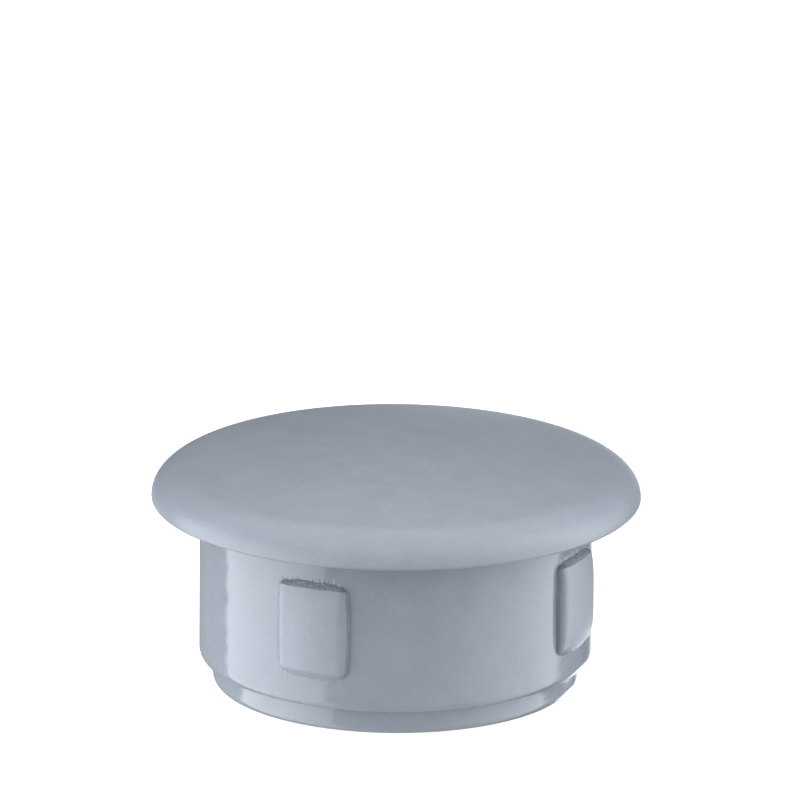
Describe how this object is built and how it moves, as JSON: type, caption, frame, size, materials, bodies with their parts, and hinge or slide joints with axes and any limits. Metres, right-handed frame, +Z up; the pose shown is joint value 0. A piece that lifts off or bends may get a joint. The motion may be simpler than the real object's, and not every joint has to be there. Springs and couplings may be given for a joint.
{
  "type": "plastic hole plug",
  "caption": "Push-in plastic hole plug with a shallow domed head, a hollow snap-lug skirt and a smaller lead-in ring.",
  "frame": {"origin": "on the plug's axis, in the plane of the panel's face that the head's rim lies on", "axes": "+Z up along the plug's axis, out of the domed head; +Y through one snap lug, with the other two at 45 degrees to each side of -Y"},
  "size_m": [0.0148, 0.0148, 0.0074],
  "materials": {
    "plug_plastic": "blue-grey polyethylene, fine matt grain on the head and smooth on the skirt"
  },
  "bodies": {
    "root": {"plug": "plug_plastic"}
  },
  "joints": []
}
